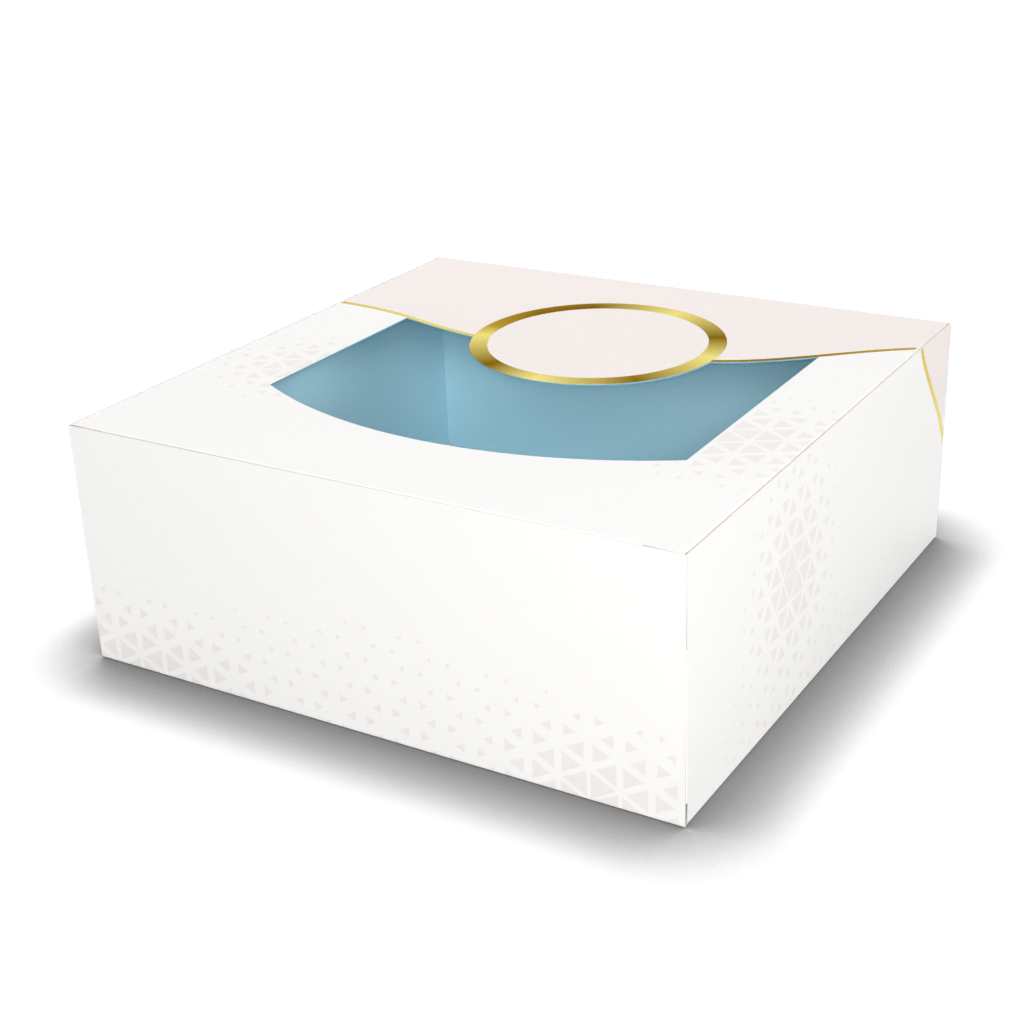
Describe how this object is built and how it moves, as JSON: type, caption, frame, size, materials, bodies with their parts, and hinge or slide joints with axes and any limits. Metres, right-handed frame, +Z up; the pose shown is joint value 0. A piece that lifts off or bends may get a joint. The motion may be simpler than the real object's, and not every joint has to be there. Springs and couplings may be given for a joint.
{
  "type": "cake box",
  "caption": "Low square folding-carton cake box with glued corners and a hinged window lid whose flaps tuck inside the walls; it carries and shows a cake.",
  "frame": {"origin": "middle of the underside of the base, on the table", "axes": "+X to the right along the front wall, +Y from the front wall to the hinged back wall, +Z up"},
  "size_m": [0.2542, 0.2541, 0.0981],
  "materials": {
    "board": "white coated folding boxboard with a satin face, printed outside, pale blue inside",
    "blush_board": "coated folding boxboard printed in a flat blush, pale blue inside",
    "glue": "thin layer of set cold glue",
    "foil": "hot-stamped gold foil",
    "film": "clear glossy window film"
  },
  "bodies": {
    "tray": {"base_panel": "board", "front_wall": "board", "back_wall": "blush_board", "left_wall": "board", "right_wall": "board", "front_left_tab": "board", "front_right_tab": "board", "back_left_tab": "board", "back_right_tab": "board", "front_left_glue": "glue", "front_right_glue": "glue", "back_left_glue": "glue", "back_right_glue": "glue", "right_wall_foil": "foil", "left_wall_foil": "foil", "back_wall_foil": "foil"},
    "lid": {"lid_panel": "board", "window_glue": "glue", "window_film": "film", "foil_ring": "foil", "lid_foil_left": "foil", "lid_foil_right": "foil"},
    "front_flap": {"tuck_flap": "board"},
    "left_side_flap": {"left_flap": "board"},
    "right_side_flap": {"right_flap": "board"}
  },
  "joints": [
    {"name": "lid_hinge", "type": "hinge", "parent": "tray", "child": "lid", "pos_m": [0, 0.127, 0.098], "axis": [-1, 0, 0], "range_deg": [0, 180]},
    {"name": "tuck_flap_crease", "type": "hinge", "parent": "lid", "child": "front_flap", "pos_m": [0, -0.1254, 0.0974], "axis": [1, 0, 0], "range_deg": [0, 80]},
    {"name": "left_flap_crease", "type": "hinge", "parent": "lid", "child": "left_side_flap", "pos_m": [-0.1254, 0, 0.0974], "axis": [0, -1, 0], "range_deg": [0, 84]},
    {"name": "right_flap_crease", "type": "hinge", "parent": "lid", "child": "right_side_flap", "pos_m": [0.1254, 0, 0.0974], "axis": [0, 1, 0], "range_deg": [0, 84]}
  ]
}
